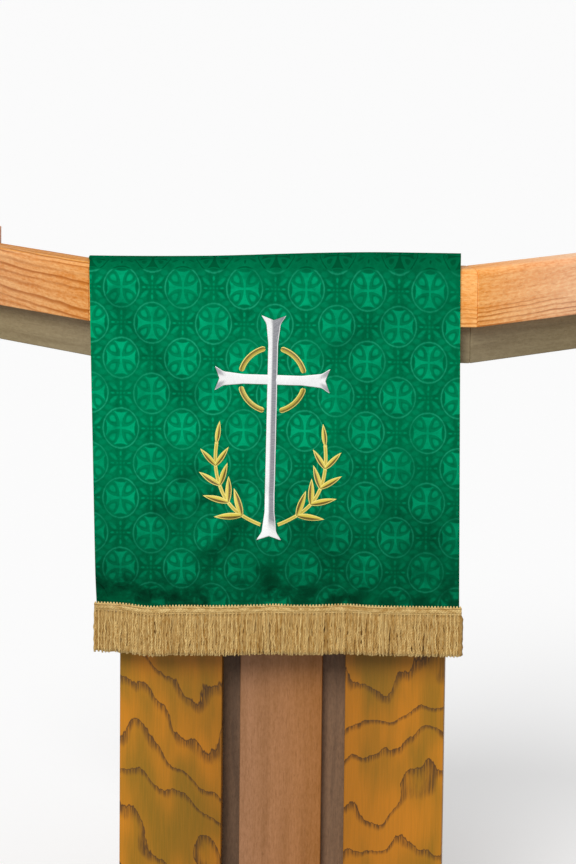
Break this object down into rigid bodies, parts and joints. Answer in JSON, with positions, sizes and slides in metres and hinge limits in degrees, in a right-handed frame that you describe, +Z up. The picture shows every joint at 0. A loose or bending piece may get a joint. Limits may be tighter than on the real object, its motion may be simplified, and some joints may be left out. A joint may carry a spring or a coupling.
{
  "type": "pulpit fall on a wooden pulpit",
  "caption": "Green jacquard cloth fall with an embroidered cross and a gold fringe, hung over the front rail of a plain wooden pulpit.",
  "frame": {"origin": "middle of the whole part in plan, at the underside of the base board, on the floor", "axes": "+Z up, +X to the right of somebody who faces the cloth, -Y towards that person"},
  "size_m": [1.0554, 0.45, 1.1694],
  "materials": {
    "green_jacquard": "green jacquard, satin figure on a matt ground",
    "gold_fringe": "gold yarn fringe with a woven heading",
    "silver_thread": "silver satin stitch",
    "gold_thread": "gold satin stitch",
    "rail_wood": "clear varnished, straight orange-brown grain",
    "apron_wood": "dull grey-brown varnish",
    "board_wood": "clear varnished",
    "post_wood": "amber varnish over dark wavy grain",
    "panel_wood": "brown varnish",
    "dark_wood": "dark varnish"
  },
  "bodies": {
    "root": {"fall_cloth": "green_jacquard", "fall_fringe": "gold_fringe", "emblem_cross": "silver_thread", "emblem_ring_1": "gold_thread", "emblem_ring_2": "gold_thread", "emblem_ring_3": "gold_thread", "emblem_ring_4": "gold_thread", "emblem_spray_left": "gold_thread", "emblem_spray_right": "gold_thread", "rail_side_left": "rail_wood", "rail_wing_left": "rail_wood", "rail_front": "rail_wood", "rail_wing_right": "rail_wood", "rail_side_right": "rail_wood", "apron_side_left": "apron_wood", "apron_wing_left": "apron_wood", "apron_front": "apron_wood", "apron_wing_right": "apron_wood", "apron_side_right": "apron_wood", "apron_rear": "apron_wood", "reading_board": "board_wood", "desk_floor": "apron_wood", "post_left": "post_wood", "post_right": "post_wood", "side_panel_left": "post_wood", "side_panel_right": "post_wood", "centre_panel": "panel_wood", "recess_board": "dark_wood", "back_panel": "post_wood", "base_board": "post_wood"}
  },
  "joints": []
}
